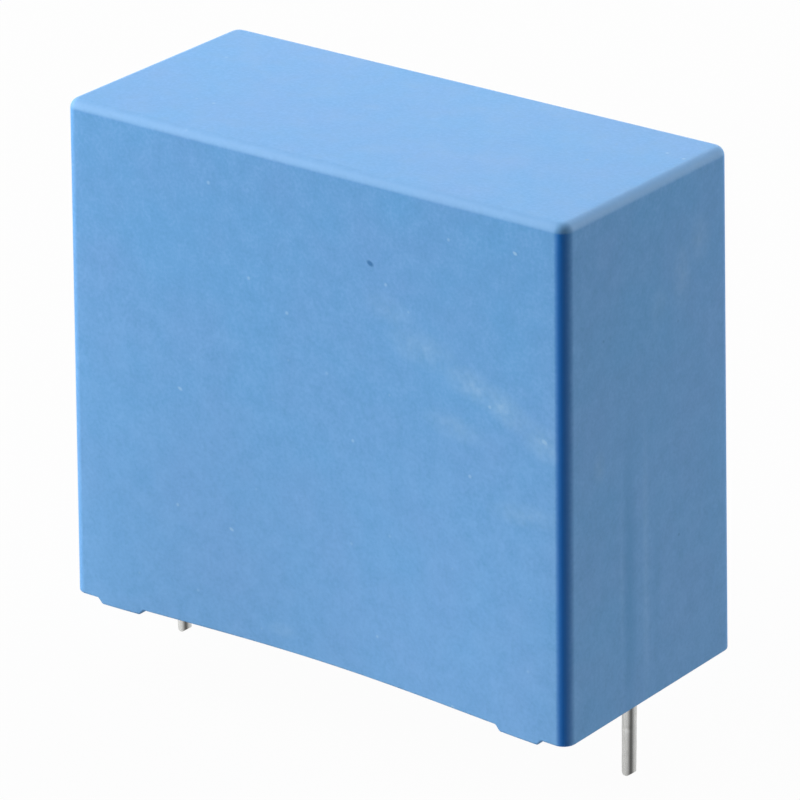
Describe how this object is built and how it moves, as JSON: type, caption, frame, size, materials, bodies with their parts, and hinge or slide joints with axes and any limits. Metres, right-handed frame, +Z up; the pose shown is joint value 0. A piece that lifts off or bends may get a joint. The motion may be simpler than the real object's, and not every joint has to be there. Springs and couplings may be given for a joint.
{
  "type": "box film capacitor",
  "caption": "Rectangular potted plastic case with rounded edges, small standoff feet and straight wire leads, soldered upright on a circuit board.",
  "frame": {"origin": "midway between the two leads, on the plane of the feet's soles, which is the board's surface", "axes": "+Z up through the closed top, along the leads; +X from the left lead to the right lead; +Y across the case"},
  "size_m": [0.041, 0.0188, 0.0413],
  "materials": {
    "case_plastic": "fine spark-eroded texture",
    "resin": "cast, satin",
    "film": "metallised film, wound",
    "sprayed_metal": "rough, flame sprayed",
    "tinned_wire": "satin tin"
  },
  "bodies": {
    "root": {"case": "case_plastic", "potting_resin": "resin", "film_winding": "film", "metal_spray_left": "sprayed_metal", "metal_spray_right": "sprayed_metal", "lead_left": "tinned_wire", "lead_right": "tinned_wire"}
  },
  "joints": []
}
